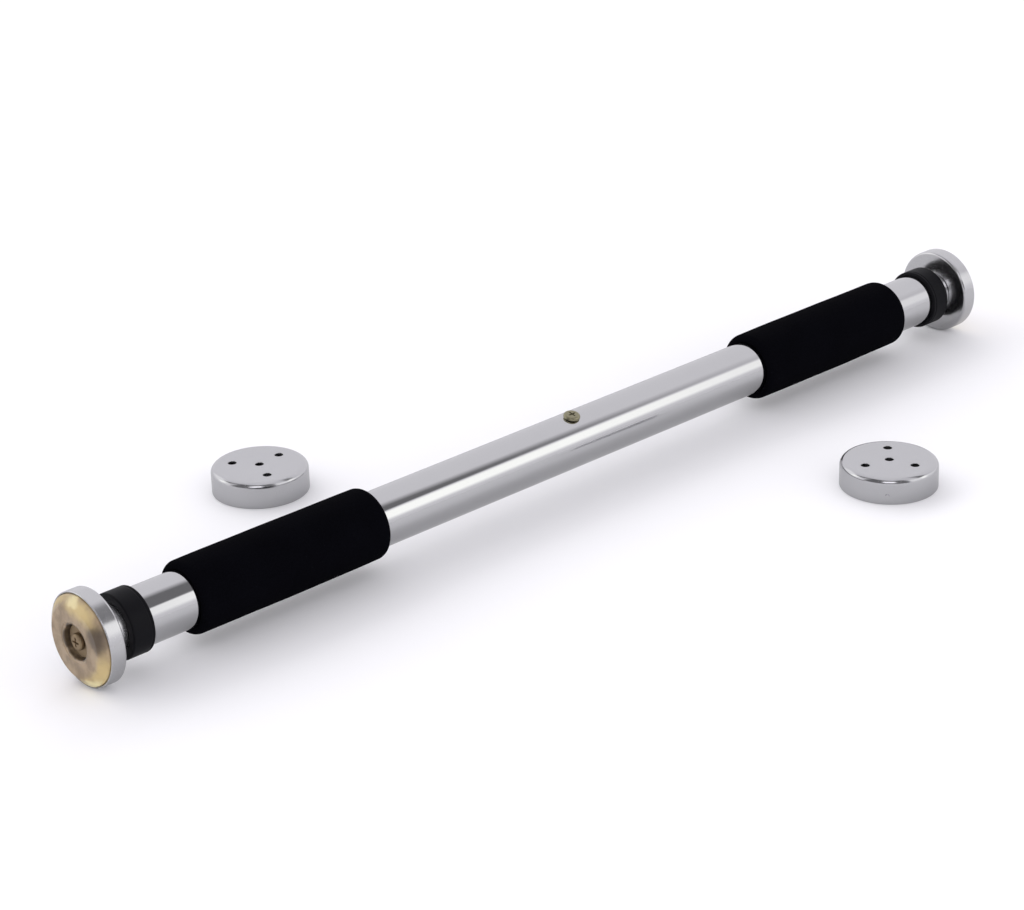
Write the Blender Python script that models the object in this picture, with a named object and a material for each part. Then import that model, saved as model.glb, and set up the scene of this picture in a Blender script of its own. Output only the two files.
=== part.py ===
"""Doorway pull up bar with its two wall cups, modelled in metres with +Z up.

The bar lies along X on its two end discs. Turning the main tube while the discs are held runs
two nuts apart along a double-handed threaded rod, and pushes both ends out together.
The origin is the centre of the set's footprint, on the surface that everything lies on.
"""

import math

import bmesh
import bpy
from mathutils import Vector

# Driving dimensions
TUBE_RADIUS = 0.016
TUBE_WALL = 0.0012
TUBE_HALF_LENGTH = 0.316
GRIP_RADIUS = 0.0206
GRIP_INNER_END = 0.150
GRIP_OUTER_END = 0.276
GRIP_END_ROUND = 0.0034
COLLAR_RADIUS = 0.0182
COLLAR_START = 0.3055
COLLAR_END = 0.3190
COLLAR_BUSH_LENGTH = 0.026
DISC_RADIUS = 0.026
DISC_BACK = 0.3277
DISC_FRONT = 0.3372
DISC_RIM_WALL = 0.0009
DISC_BACK_WALL = 0.0028
DISC_BACK_ROUND = 0.0016
HALF_LENGTH = 0.3414
SLEEVE_RADIUS = 0.013
SLEEVE_WALL = 0.0015
SLEEVE_START = 0.060
PAD_FACE_RADIUS = 0.0200
PAD_SHOULDER_START = 0.3380
PAD_RECESS_RADIUS = 0.0096
PAD_RECESS_DEPTH = 0.0044
PAD_WASHER_RADIUS = 0.0088
PAD_SCREW_HEAD_RADIUS = 0.0046
ROD_RADIUS = 0.007
ROD_HALF_LENGTH = 0.2079
NUT_START = 0.062
NUT_LENGTH = 0.018
RING_START = 0.088
RING_LENGTH = 0.012
RING_GROOVE_DEPTH = 0.0006
RING_SPLIT = 0.002
BLOCK_HALF_LENGTH = 0.015
PLUG_LENGTH = 0.022
PAD_SCREW_RADIUS = 0.0029
STOP_SCREW_RADIUS = 0.002
CENTRE_SCREW_RADIUS = 0.002
CENTRE_SCREW_HEAD_RADIUS = 0.0049
CUP_RADIUS = 0.0283
CUP_HEIGHT = 0.0156
CUP_WALL = 0.0015
CUP_ROUND = 0.0036
CUP_HOLE_RADIUS = 0.0025
CUP_HOLE_CIRCLE = 0.0162
CUP_SIDE_HOLE_RADIUS = 0.0012
CUP_SIDE_HOLE_HEIGHT = 0.0050
CUP_SIDE_HOLE_TURN = math.radians(175.0)
GAP = 0.0003

# Places of the bar's axis and of the two cups, which lie loose on each side of it
BAR_Y = 0.0058
AXIS_Z = DISC_RADIUS
LEFT_CUP_PLACE = (-0.1281, 0.1290, math.radians(-112.3))
RIGHT_CUP_PLACE = (0.1253, -0.1289, math.radians(43.6))

# How far towards +X the tube, with all that is fixed to it, stands from midway between the discs
TUBE_SHIFT = 0.0012

# How far the tube, with its centre screw, is rolled towards -Y on the bar's axis
TUBE_ROLL = math.radians(11.5)

# Facets round each kind of turned piece
FINE = 36
PLAIN = 20
SMALL = 10

# A fillet smaller than this is a plain chamfer, and a larger one is an arc
CHAMFER_LIMIT = 0.0010
FILLET_STEPS = 2

TUBE_BORE = TUBE_RADIUS - TUBE_WALL
SLEEVE_BORE = SLEEVE_RADIUS - SLEEVE_WALL
SHARP_ANGLE = math.radians(35)

FINISHES = {
    "chrome": ((0.72, 0.72, 0.74), 0.08, 1.0),
    "zinc_steel": ((0.52, 0.52, 0.50), 0.35, 1.0),
    "black_foam": ((0.004, 0.004, 0.005), 0.95, 0.0),
    "black_plastic": ((0.012, 0.012, 0.014), 0.35, 0.0),
    "amber_rubber": ((0.33, 0.24, 0.13), 0.30, 0.0),
    "brass": ((0.30, 0.26, 0.12), 0.35, 1.0),
    "nylon": ((0.78, 0.77, 0.72), 0.45, 0.0),
}


def clear_scene():
    for old in list(bpy.data.objects):
        bpy.data.objects.remove(old, do_unlink=True)


def finish(kind, name):
    """A material for one piece, in one of the object's finishes."""
    colour, roughness, metallic = FINISHES[kind]
    material = bpy.data.materials.new(name)
    material.use_nodes = True
    shader = material.node_tree.nodes["Principled BSDF"]
    shader.inputs["Base Color"].default_value = (*colour, 1.0)
    shader.inputs["Roughness"].default_value = roughness
    shader.inputs["Metallic"].default_value = metallic
    return material


def empty(name, location, rotation=(0.0, 0.0, 0.0), parent=None):
    marker = bpy.data.objects.new(name, None)
    marker.location = location
    marker.rotation_euler = rotation
    marker.parent = parent
    bpy.context.collection.objects.link(marker)
    return marker


def add_object(name, bm, parent, location, rotation=(0.0, 0.0, 0.0)):
    """Turns a bmesh into an object that stands at a place in its parent's frame."""
    mesh = bpy.data.meshes.new(name)
    bm.to_mesh(mesh)
    bm.free()
    mesh.shade_smooth()
    mesh.set_sharp_from_angle(angle=SHARP_ANGLE)
    piece = bpy.data.objects.new(name, mesh)
    piece.location = location
    piece.rotation_euler = rotation
    piece.parent = parent
    bpy.context.collection.objects.link(piece)
    return piece


def filleted(corners):
    """Rounds a closed outline. Each corner is (along, radius, fillet)."""
    points = []
    for index, (x, r, fillet) in enumerate(corners):
        corner = Vector((x, r))
        if not fillet:
            points.append(corner)
            continue
        before = (Vector(corners[index - 1][:2]) - corner).normalized()
        after = (Vector(corners[(index + 1) % len(corners)][:2]) - corner).normalized()
        half = before.angle(after) / 2
        centre = corner + (before + after).normalized() * fillet / math.sin(half)
        start = corner + before * fillet / math.tan(half) - centre
        sweep = (math.pi - 2 * half) * math.copysign(1, before.cross(after))
        steps = FILLET_STEPS if fillet > CHAMFER_LIMIT else 1
        for step in range(steps + 1):
            turn = -sweep * step / steps
            arm = Vector((
                start.x * math.cos(turn) - start.y * math.sin(turn),
                start.x * math.sin(turn) + start.y * math.cos(turn),
            ))
            points.append(centre + arm)
    return points


def turned(name, kind, corners, parent, segments=PLAIN, axis="X", location=(0.0, 0.0, 0.0)):
    """Spins a closed outline of (along, radius, fillet) corners about the axis."""
    bm = bmesh.new()
    if axis == "X":
        direction = (1.0, 0.0, 0.0)
        loop = [bm.verts.new((p.x, 0.0, p.y)) for p in filleted(corners)]
    else:
        direction = (0.0, 0.0, 1.0)
        loop = [bm.verts.new((p.y, 0.0, p.x)) for p in filleted(corners)]
    edges = []
    for first, second in zip(loop, loop[1:] + loop[:1]):
        on_axis = max(abs(c) for v in (first, second) for c in radial(v.co, axis)) < 1e-9
        if not on_axis:
            edges.append(bm.edges.new((first, second)))
    bmesh.ops.spin(
        bm, geom=loop + edges, axis=direction, cent=(0.0, 0.0, 0.0),
        steps=segments, angle=2 * math.pi, use_merge=True,
    )
    bmesh.ops.remove_doubles(bm, verts=bm.verts, dist=1e-6)
    bmesh.ops.recalc_face_normals(bm, faces=bm.faces)
    piece = add_object(name, bm, parent, location)
    piece.data.materials.append(finish(kind, name))
    return piece


def radial(point, axis):
    """The two coordinates across an axis."""
    return (point.y, point.z) if axis == "X" else (point.x, point.y)


def tube_outline(start, end, bore, radius, chamfer=0.0):
    """A plain ring's outline, with its outer corners eased if a chamfer is given."""
    return [
        (start, bore, 0.0),
        (end, bore, 0.0),
        (end, radius, chamfer),
        (start, radius, chamfer),
    ]


def cut(piece, name, tool_bm, location, rotation=(0.0, 0.0, 0.0)):
    """Takes a cutter away from a piece."""
    cutter = add_object(name, tool_bm, piece, location, rotation)
    cutter.hide_render = True
    cutter.display_type = "WIRE"
    boolean = piece.modifiers.new(name, "BOOLEAN")
    boolean.operation = "DIFFERENCE"
    boolean.solver = "EXACT"
    boolean.object = cutter


def drill(piece, name, radius, depth, location, rotation=(0.0, 0.0, 0.0), segments=SMALL):
    """Cuts a round hole, centred on a point, along the rotated Z axis."""
    bm = bmesh.new()
    bmesh.ops.create_cone(
        bm, cap_ends=True, segments=segments, radius1=radius, radius2=radius, depth=depth
    )
    cut(piece, name, bm, location, rotation)


def slot(piece, name, size, location):
    """Cuts a box-shaped slot, centred on a point."""
    bm = bmesh.new()
    bmesh.ops.create_cube(bm, size=1.0)
    bmesh.ops.scale(bm, vec=size, verts=bm.verts)
    cut(piece, name, bm, location)


def build_main_tube(core):
    tube = turned(
        "main_tube", "chrome",
        tube_outline(-TUBE_HALF_LENGTH, TUBE_HALF_LENGTH, TUBE_BORE, TUBE_RADIUS),
        core, FINE,
    )
    drill(tube, "tube_hole", CENTRE_SCREW_RADIUS + GAP, TUBE_RADIUS, (0.0, 0.0, TUBE_RADIUS))


def build_grip(side, end):
    bore = TUBE_RADIUS + GAP
    turned(
        f"{side}_grip", "black_foam",
        [
            (GRIP_INNER_END, bore, 0.0),
            (GRIP_OUTER_END, bore, 0.0),
            (GRIP_OUTER_END, GRIP_RADIUS, GRIP_END_ROUND),
            (GRIP_INNER_END, GRIP_RADIUS, GRIP_END_ROUND),
        ],
        end, FINE,
    )


def build_collar(side, end):
    """A cap over the tube's end, with a bush inside it that guides the sleeve."""
    shell_bore = TUBE_RADIUS + GAP
    bush_radius = TUBE_BORE - GAP
    bush_start = TUBE_HALF_LENGTH - COLLAR_BUSH_LENGTH
    wall_start = TUBE_HALF_LENGTH + GAP
    turned(
        f"{side}_collar", "black_plastic",
        [
            (bush_start, SLEEVE_RADIUS + GAP, 0.0),
            (COLLAR_END, SLEEVE_RADIUS + GAP, 0.0),
            (COLLAR_END, COLLAR_RADIUS, 0.0008),
            (COLLAR_START, COLLAR_RADIUS, 0.0012),
            (COLLAR_START, shell_bore, 0.0),
            (wall_start, shell_bore, 0.0),
            (wall_start, bush_radius, 0.0),
            (bush_start, bush_radius, 0.0),
        ],
        end, FINE,
    )


def build_core(core):
    """The block in the tube's middle, the threaded rod through it, and the screw that locks both."""
    block = turned(
        "centre_block", "zinc_steel",
        tube_outline(-BLOCK_HALF_LENGTH, BLOCK_HALF_LENGTH, ROD_RADIUS + GAP, TUBE_BORE - GAP, 0.0005),
        core,
    )
    drill(block, "block_hole", CENTRE_SCREW_RADIUS + GAP, 0.020, (0.0, 0.0, TUBE_BORE))

    rod = turned(
        "threaded_rod", "zinc_steel",
        [
            (-ROD_HALF_LENGTH, 0.0, 0.0),
            (ROD_HALF_LENGTH, 0.0, 0.0),
            (ROD_HALF_LENGTH, ROD_RADIUS, 0.0008),
            (-ROD_HALF_LENGTH, ROD_RADIUS, 0.0008),
        ],
        core,
    )
    drill(rod, "rod_hole", CENTRE_SCREW_RADIUS + GAP, ROD_RADIUS * 2, (0.0, 0.0, ROD_RADIUS))
    for name, direction in (("left", -1), ("right", 1)):
        drill(
            rod, f"rod_{name}_tapping", STOP_SCREW_RADIUS + GAP, 0.028,
            (direction * ROD_HALF_LENGTH, 0.0, 0.0), (0.0, math.pi / 2, 0.0),
        )

    head_base = TUBE_RADIUS + GAP
    turned(
        "centre_screw", "brass",
        [
            (0.0015, 0.0, 0.0),
            (head_base + 0.0020, 0.0, 0.0),
            (head_base + 0.0020, CENTRE_SCREW_HEAD_RADIUS, 0.0013),
            (head_base, CENTRE_SCREW_HEAD_RADIUS, 0.0),
            (head_base, CENTRE_SCREW_RADIUS, 0.0),
            (0.0015, CENTRE_SCREW_RADIUS, 0.0004),
        ],
        core, PLAIN, "Z",
    )


def build_rod_stop(side, end):
    """A washer on the rod's end that keeps the nut from running off, and the screw that holds it."""
    washer_start = ROD_HALF_LENGTH + GAP
    washer_end = washer_start + 0.002
    turned(
        f"{side}_stop_washer", "zinc_steel",
        tube_outline(washer_start, washer_end, STOP_SCREW_RADIUS + GAP, 0.0105),
        end,
    )
    head_start = washer_end + GAP
    turned(
        f"{side}_stop_screw", "zinc_steel",
        [
            (ROD_HALF_LENGTH - 0.011, 0.0, 0.0),
            (head_start + 0.0024, 0.0, 0.0),
            (head_start + 0.0024, 0.0038, 0.0010),
            (head_start, 0.0038, 0.0),
            (head_start, STOP_SCREW_RADIUS, 0.0),
            (ROD_HALF_LENGTH - 0.011, STOP_SCREW_RADIUS, 0.0004),
        ],
        end, SMALL,
    )


def build_guide_ring(side, slider):
    """A split ring that slides in the tube and doesn't turn, in a groove of the sleeve."""
    ring = turned(
        f"{side}_guide_ring", "nylon",
        tube_outline(
            RING_START, RING_START + RING_LENGTH,
            SLEEVE_RADIUS - RING_GROOVE_DEPTH + GAP, TUBE_BORE - GAP,
        ),
        slider,
    )
    slot(
        ring, f"{side}_ring_split", (RING_LENGTH * 2, RING_SPLIT, 0.006),
        (RING_START + RING_LENGTH / 2, 0.0, -SLEEVE_RADIUS),
    )


def build_sleeve(side, foot):
    """The inner tube that telescopes out of the bar, with the ring's groove and a hole for the nut's screw."""
    sleeve_end = DISC_BACK - GAP
    groove = SLEEVE_RADIUS - RING_GROOVE_DEPTH
    sleeve = turned(
        f"{side}_sleeve", "chrome",
        [
            (SLEEVE_START, SLEEVE_BORE, 0.0),
            (sleeve_end, SLEEVE_BORE, 0.0),
            (sleeve_end, SLEEVE_RADIUS, 0.0003),
            (RING_START + RING_LENGTH + GAP, SLEEVE_RADIUS, 0.0),
            (RING_START + RING_LENGTH + GAP, groove, 0.0),
            (RING_START - GAP, groove, 0.0),
            (RING_START - GAP, SLEEVE_RADIUS, 0.0),
            (SLEEVE_START, SLEEVE_RADIUS, 0.0003),
        ],
        foot, FINE,
    )
    middle = NUT_START + NUT_LENGTH / 2
    drill(sleeve, f"{side}_sleeve_hole", 0.0018, 0.006, (middle, 0.0, SLEEVE_RADIUS))


def build_nut(side, foot):
    """The drive nut in the sleeve's inner end, and the grub screw that stops it turning there."""
    nut = turned(
        f"{side}_drive_nut", "brass",
        tube_outline(NUT_START, NUT_START + NUT_LENGTH, ROD_RADIUS + GAP, SLEEVE_BORE - GAP),
        foot,
    )
    middle = NUT_START + NUT_LENGTH / 2
    pocket_floor = 0.0086
    drill(nut, f"{side}_nut_pocket", 0.0018, 0.008, (middle, 0.0, pocket_floor + 0.004))
    turned(
        f"{side}_nut_screw", "zinc_steel",
        [
            (pocket_floor + GAP, 0.0, 0.0),
            (SLEEVE_RADIUS - GAP, 0.0, 0.0),
            (SLEEVE_RADIUS - GAP, 0.0015, 0.0),
            (pocket_floor + GAP, 0.0015, 0.0004),
        ],
        foot, SMALL, "Z", (middle, 0.0, 0.0),
    )


def build_disc(side, foot):
    """The end disc: a shallow chrome dish that opens outwards, with a rounded back edge."""
    floor = DISC_BACK + DISC_BACK_WALL
    inner = DISC_RADIUS - DISC_RIM_WALL
    turned(
        f"{side}_disc", "chrome",
        [
            (DISC_BACK, PAD_SCREW_RADIUS + GAP, 0.0),
            (floor, PAD_SCREW_RADIUS + GAP, 0.0),
            (floor, inner, 0.0),
            (DISC_FRONT, inner, 0.0002),
            (DISC_FRONT, DISC_RADIUS, 0.0005),
            (DISC_BACK, DISC_RADIUS, DISC_BACK_ROUND),
        ],
        foot, FINE,
    )


def build_plug(side, foot):
    """The tapped plug that closes the sleeve's outer end and holds the disc's screw."""
    plug_end = DISC_BACK - GAP
    plug = turned(
        f"{side}_plug", "zinc_steel",
        [
            (plug_end - PLUG_LENGTH, 0.0, 0.0),
            (plug_end, 0.0, 0.0),
            (plug_end, SLEEVE_BORE - GAP, 0.0),
            (plug_end - PLUG_LENGTH, SLEEVE_BORE - GAP, 0.001),
        ],
        foot,
    )
    drill(
        plug, f"{side}_plug_tapping", PAD_SCREW_RADIUS + GAP, 0.036,
        (plug_end, 0.0, 0.0), (0.0, math.pi / 2, 0.0),
    )


def build_pad(side, foot):
    """The rubber pad, whose face stands out of the disc, with the washer and screw in its recess."""
    back = DISC_BACK + DISC_BACK_WALL + GAP
    rim = DISC_RADIUS - DISC_RIM_WALL - GAP
    recess_floor = HALF_LENGTH - PAD_RECESS_DEPTH
    turned(
        f"{side}_pad", "amber_rubber",
        [
            (back, PAD_SCREW_RADIUS + GAP, 0.0),
            (recess_floor, PAD_SCREW_RADIUS + GAP, 0.0),
            (recess_floor, PAD_RECESS_RADIUS, 0.0),
            (HALF_LENGTH, PAD_RECESS_RADIUS, 0.0010),
            (HALF_LENGTH, PAD_FACE_RADIUS, 0.0014),
            (PAD_SHOULDER_START, rim, 0.0010),
            (back, rim, 0.0),
        ],
        foot, FINE,
    )
    washer_start = recess_floor + GAP
    washer_end = washer_start + 0.001
    turned(
        f"{side}_washer", "brass",
        tube_outline(washer_start, washer_end, PAD_SCREW_RADIUS + GAP, PAD_WASHER_RADIUS),
        foot,
    )
    head_start = washer_end + GAP
    head_end = head_start + 0.0022
    tip = DISC_BACK - 0.014
    screw = turned(
        f"{side}_pad_screw", "brass",
        [
            (tip, 0.0, 0.0),
            (head_end, 0.0, 0.0),
            (head_end, PAD_SCREW_HEAD_RADIUS, 0.0012),
            (head_start, PAD_SCREW_HEAD_RADIUS, 0.0),
            (head_start, PAD_SCREW_RADIUS, 0.0),
            (tip, PAD_SCREW_RADIUS, 0.0006),
        ],
        foot, PLAIN,
    )
    for name, size in (("slot_y", (0.003, 0.0048, 0.0011)), ("slot_z", (0.003, 0.0011, 0.0048))):
        slot(screw, f"{side}_{name}", size, (head_end, 0.0, 0.0))


def build_cup(side, place):
    """A wall cup, lying with its open side down. Its side hole is nearly opposite a screw hole."""
    x, y, turn = place
    holder = empty(f"{side}_cup_place", (x, y, 0.0), (0.0, 0.0, turn))
    inner = CUP_RADIUS - CUP_WALL
    ceiling = CUP_HEIGHT - CUP_WALL
    cup = turned(
        f"{side}_cup", "chrome",
        [
            (0.0, inner, 0.0002),
            (ceiling, inner, 0.0012),
            (ceiling, 0.0, 0.0),
            (CUP_HEIGHT, 0.0, 0.0),
            (CUP_HEIGHT, CUP_RADIUS, CUP_ROUND),
            (0.0, CUP_RADIUS, 0.0002),
        ],
        holder, FINE, "Z",
    )
    drill(cup, f"{side}_cup_centre_hole", CUP_HOLE_RADIUS, 0.006, (0.0, 0.0, CUP_HEIGHT))
    for number in range(3):
        angle = math.radians(120 * number)
        centre = (CUP_HOLE_CIRCLE * math.cos(angle), CUP_HOLE_CIRCLE * math.sin(angle), CUP_HEIGHT)
        drill(cup, f"{side}_cup_hole_{number + 1}", CUP_HOLE_RADIUS, 0.006, centre)
    across = (CUP_RADIUS * math.cos(CUP_SIDE_HOLE_TURN), CUP_RADIUS * math.sin(CUP_SIDE_HOLE_TURN))
    drill(
        cup, f"{side}_cup_side_hole", CUP_SIDE_HOLE_RADIUS, 0.008,
        (*across, CUP_SIDE_HOLE_HEIGHT), (0.0, math.pi / 2, CUP_SIDE_HOLE_TURN),
    )


def build_side(side, turn, bar):
    """Everything at one end of the bar. The left end is the right one turned half way round."""
    end = empty(f"{side}_end", (0.0, 0.0, 0.0), (0.0, 0.0, turn), bar)
    tube_end = empty(f"{side}_tube_end", (TUBE_SHIFT * math.cos(turn), 0.0, 0.0), parent=end)
    slider = empty(f"{side}_slider", (0.0, 0.0, 0.0), parent=end)
    foot = empty(f"{side}_foot", (0.0, 0.0, 0.0), parent=slider)
    for build in (build_grip, build_collar, build_rod_stop):
        build(side, tube_end)
    build_guide_ring(side, slider)
    for build in (build_sleeve, build_nut, build_plug, build_disc, build_pad):
        build(side, foot)


def main():
    clear_scene()
    bar = empty("bar_axis", (0.0, BAR_Y, AXIS_Z))
    core = empty("core_axis", (TUBE_SHIFT, 0.0, 0.0), (TUBE_ROLL, 0.0, 0.0), bar)
    build_main_tube(core)
    build_core(core)
    build_side("left", math.pi, bar)
    build_side("right", 0.0, bar)
    build_cup("left", LEFT_CUP_PLACE)
    build_cup("right", RIGHT_CUP_PLACE)


main()
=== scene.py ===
"""Looks of the doorway pull up bar and its two wall cups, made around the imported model.

Every piece is a turned or helical surface worked out with numpy on the axis that its CAD node has,
with the node's own length and radius, and finished with node-based materials.
"""

import math

import bpy
import numpy as np
from bpy.props import FloatProperty, FloatVectorProperty, IntProperty, PointerProperty
from mathutils import Matrix, Vector


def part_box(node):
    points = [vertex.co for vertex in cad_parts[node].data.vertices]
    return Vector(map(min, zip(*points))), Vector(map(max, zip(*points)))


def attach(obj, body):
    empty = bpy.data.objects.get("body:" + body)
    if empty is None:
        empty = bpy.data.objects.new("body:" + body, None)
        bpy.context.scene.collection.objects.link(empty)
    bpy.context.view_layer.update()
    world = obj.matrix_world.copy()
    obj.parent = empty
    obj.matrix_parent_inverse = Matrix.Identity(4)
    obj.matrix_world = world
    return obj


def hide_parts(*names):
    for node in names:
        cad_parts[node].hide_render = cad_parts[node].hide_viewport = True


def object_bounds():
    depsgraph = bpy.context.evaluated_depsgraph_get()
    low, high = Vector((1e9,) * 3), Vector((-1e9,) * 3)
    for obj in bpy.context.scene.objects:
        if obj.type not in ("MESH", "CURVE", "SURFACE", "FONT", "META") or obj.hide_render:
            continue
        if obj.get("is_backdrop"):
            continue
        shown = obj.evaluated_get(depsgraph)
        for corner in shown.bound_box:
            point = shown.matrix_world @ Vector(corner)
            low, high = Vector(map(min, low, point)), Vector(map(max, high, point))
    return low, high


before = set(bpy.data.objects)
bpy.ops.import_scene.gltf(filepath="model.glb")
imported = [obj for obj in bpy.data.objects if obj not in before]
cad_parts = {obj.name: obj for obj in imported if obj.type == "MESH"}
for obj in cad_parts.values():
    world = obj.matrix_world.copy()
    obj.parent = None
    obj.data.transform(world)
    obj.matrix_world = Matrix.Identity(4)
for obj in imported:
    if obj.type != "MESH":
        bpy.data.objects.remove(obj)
CAD_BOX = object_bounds()

bl_info = {
    "name": "Doorway pull up bar",
    "version": (1, 0, 0),
    "blender": (4, 5, 0),
    "location": "3D View > Sidebar > Pull up bar",
    "description": "Builds the visible pieces, finishes and studio of a doorway pull up bar",
    "category": "Add Mesh",
}

MM = 0.001
SIDES = ("left", "right")
SHARP_ANGLE = math.radians(38)
SUPPORT = 0.12 * MM
GAP = 0.3 * MM  # clearance between neighbouring parts
SCREW_HOLE = 2.3 * MM  # radius of the holes for the centre screw and the stop screws
LOCK_HOLE = 1.8 * MM  # radius of the holes for the nuts' grub screws
PAD_SCREW_BORE = 3.2 * MM
MORE_FACETS = 32  # added round the tube, the discs and the cups


# Settings


def size(name, description, default):
    """A length property in metres, from a default in millimetres."""
    return FloatProperty(name=name, description=description, default=default * MM, min=0.0, unit="LENGTH")


def angle(name, description, default):
    """An angle property, from a default in degrees."""
    return FloatProperty(name=name, description=description, default=math.radians(default), subtype="ANGLE")


def strength(name, description, default):
    return FloatProperty(name=name, description=description, default=default, min=0.0)


def colour(name, description, default):
    return FloatVectorProperty(
        name=name, description=description, default=default, min=0.0, max=1.0, size=3, subtype="COLOR"
    )


class BarSizes(bpy.types.PropertyGroup):
    tube_wall: size("Tube wall", "Thickness of the main tube's wall", 1.2)
    sleeve_wall: size("Sleeve wall", "Thickness of the inner sleeves' wall", 1.5)
    grip_round: size("Grip end radius", "Rounding of the foam grips' ends", 3.6)
    grip_swell: size("Grip swell", "How far the foam swells between its ends", 0.25)
    disc_round: size("Disc back radius", "Rounding of the end discs' back edge", 1.6)
    disc_rim: size("Disc rim wall", "Thickness of the end discs' rim", 0.9)
    disc_floor: size("Disc floor", "Thickness of the end discs' back wall", 2.8)
    pad_face: size("Pad face radius", "Radius of the flat face of each pad", 20.0)
    pad_recess: size("Pad recess radius", "Radius of the round recess in each pad", 9.6)
    pad_recess_depth: size("Pad recess depth", "Depth of the round recess in each pad", 4.4)
    cup_round: size("Cup edge radius", "Rounding of the wall cups' closed edge", 3.6)
    cup_wall: size("Cup wall", "Thickness of the wall cups", 1.5)
    cup_hole: size("Cup hole radius", "Radius of the cups' screw holes", 2.5)
    cup_hole_circle: size("Cup hole circle", "Radius of the circle of screw holes", 16.2)
    thread_lead: size("Thread lead", "How far a nut moves in one turn", 6.0)
    thread_depth: size("Thread depth", "Depth of the rod's thread", 1.5)
    tube_roll: angle("Tube roll", "How far the tube and its centre screw are rolled towards -Y", 11.5)
    round_facets: IntProperty(
        name="Facets", description="Facets round the large turned pieces", default=160, min=24, max=512
    )


class BarColours(bpy.types.PropertyGroup):
    chrome: colour("Chrome", "Bright plate of tube, sleeves and discs", (0.705, 0.704, 0.714))
    sleeve: colour("Sleeve", "Brighter drawn plate of the sleeves", (0.86, 0.86, 0.87))
    cup_chrome: colour("Cup plate", "Satin plate of the wall cups", (0.680, 0.680, 0.694))
    foam: colour("Foam", "Closed-cell foam of the grips", (0.0012, 0.0012, 0.0019))
    plastic: colour("Collar plastic", "Moulded collars", (0.0028, 0.0028, 0.0038))
    rubber: colour("Pad rubber", "Amber rubber of the pads' face", (0.330, 0.245, 0.155))
    # The deep amber is the thick or dirty rubber in the pads' clouding, and also the colour of painted shade
    # in their recesses and of a painted dark reflection on their face.
    rubber_deep_and_painted_shade: colour("Pad rubber, deep", "Amber rubber where it is thick or dirty", (0.085, 0.055, 0.030))
    # The lit amber is painted light: light shining through the pads' shoulder, painted into their colour.
    rubber_painted_light: colour("Pad rubber, lit", "Amber rubber where light comes through it", (0.56, 0.43, 0.19))
    screw: colour("Screw", "Yellow-passivated screws", (0.34, 0.315, 0.21))
    pad_screw: colour("Pad screw", "Dulled brass of the pads' screws and washers", (0.36, 0.27, 0.17))
    brass: colour("Nut brass", "Machined brass of the drive nuts", (0.55, 0.42, 0.18))
    zinc: colour("Zinc", "Zinc-plated steel inside the bar", (0.46, 0.46, 0.45))
    nylon: colour("Nylon", "Guide rings", (0.74, 0.72, 0.66))
    floor: colour("Floor", "Studio floor", (0.90, 0.90, 0.905))


class BarStage(bpy.types.PropertyGroup):
    azimuth: angle("Azimuth", "Camera's direction round the bar", -42.07)
    elevation: angle("Elevation", "Camera's height angle", 24.18)
    roll: angle("Roll", "Camera's tilt", -1.85)
    distance: FloatProperty(
        name="Distance", description="From the camera to its aim point", default=1.6062, min=0.1, unit="LENGTH"
    )
    aim: FloatVectorProperty(
        name="Aim",
        description="Point that the camera looks at",
        default=(-0.0346, 0.0148, 0.026),
        subtype="XYZ",
    )
    lens: FloatProperty(name="Lens", description="Focal length in millimetres", default=99.3, min=1.0)
    dome: strength("Dome", "Brightness of the light on matt surfaces", 1.13)
    sky: strength("Walls", "Brightness of the walls in reflections", 0.737)
    panel: strength("Softbox", "Brightness of the long softbox in reflections", 1.32)
    key_power: strength("Key light", "Power of the key light in watts", 1.0)


# Surfaces


def outline(corners, steps=8):
    """A closed outline of (along, radius, fillet) corners as an array of points.

    A fillet f at corner P between unit directions u and v becomes the arc of radius f about
    P + (u + v) / |u + v| * f / sin(half angle), from P + u f / tan(half) to P + v f / tan(half).
    A support point on each side of an arc or corner keeps the shading of flat faces flat.
    """
    points = []
    count = len(corners)
    places = [np.array(corner[:2], float) for corner in corners]
    for index, (_, radius, fillet) in enumerate(corners):
        corner = places[index]
        before = places[index - 1] - corner
        after = places[(index + 1) % count] - corner
        u, v = before / np.linalg.norm(before), after / np.linalg.norm(after)
        half = math.acos(np.clip(u @ v, -1.0, 1.0)) / 2
        reach = fillet / math.tan(half)
        if radius < 1e-9:
            points.append(corner[None])
            continue
        if fillet:
            centre = corner + (u + v) / np.linalg.norm(u + v) * fillet / math.sin(half)
            start, end = corner + u * reach - centre, corner + v * reach - centre
            share = np.linspace(0.0, 1.0, steps + 1)[:, None]
            sweep = math.pi - 2 * half
            arc = (np.sin((1 - share) * sweep) * start + np.sin(share * sweep) * end) / math.sin(sweep)
            arc = centre + arc
        else:
            arc = corner[None]
        points += [(corner + u * (reach + SUPPORT))[None], arc, (corner + v * (reach + SUPPORT))[None]]
    return np.concatenate(points)


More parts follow.
